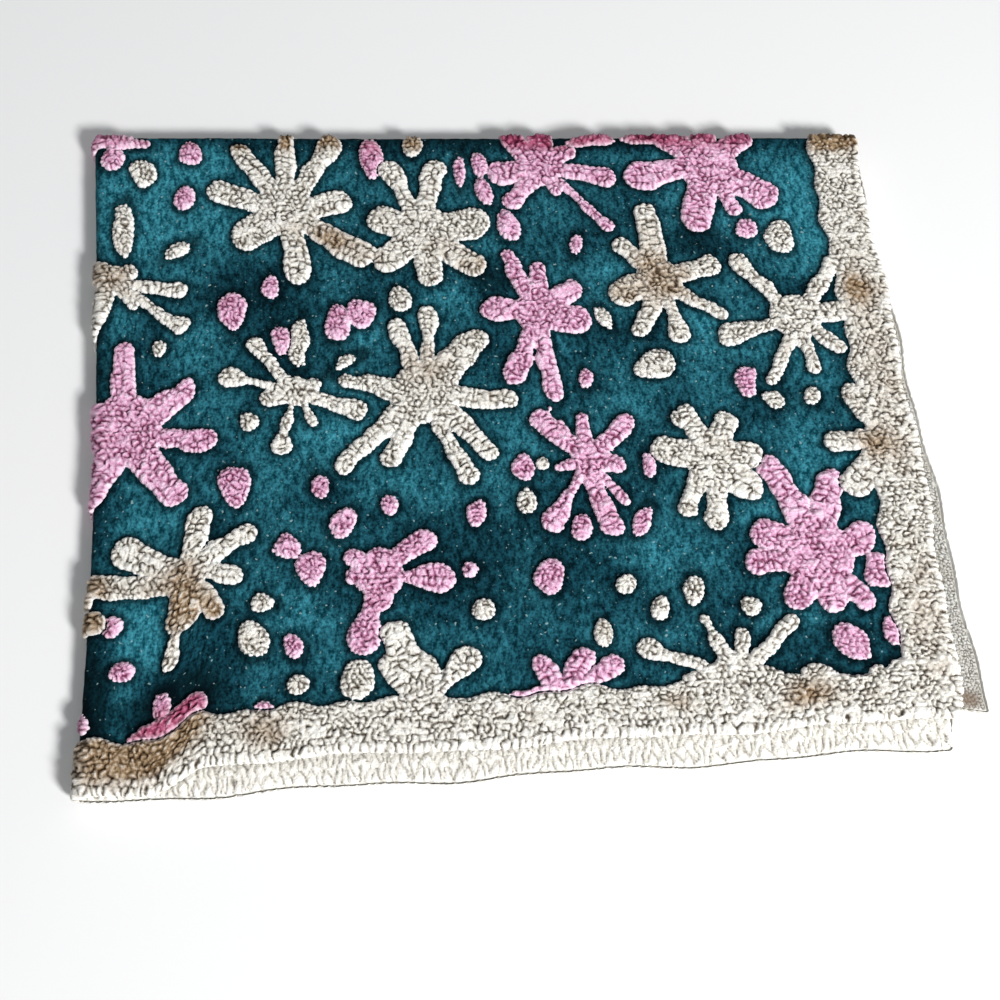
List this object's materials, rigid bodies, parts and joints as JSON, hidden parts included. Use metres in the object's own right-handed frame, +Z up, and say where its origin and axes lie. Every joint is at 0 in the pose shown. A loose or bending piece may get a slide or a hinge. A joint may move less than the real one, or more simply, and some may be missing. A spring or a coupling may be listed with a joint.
{
  "type": "throw blanket",
  "caption": "Soft throw blanket folded in quarters and lying flat, with raised pile flowers and a pile border.",
  "frame": {"origin": "centre of the folded throw's box, on the surface it rests on", "axes": "+X towards the open right edges, away from the left fold; +Y towards the far fold; +Z up out of the stack"},
  "size_m": [0.827, 0.6568, 0.0298],
  "materials": {
    "ground_knit": "short mottled teal plush",
    "cream_pile": "curly cream pile",
    "pink_pile": "curly pink pile"
  },
  "bodies": {
    "root": {"throw_cloth": "ground_knit"}
  },
  "joints": []
}
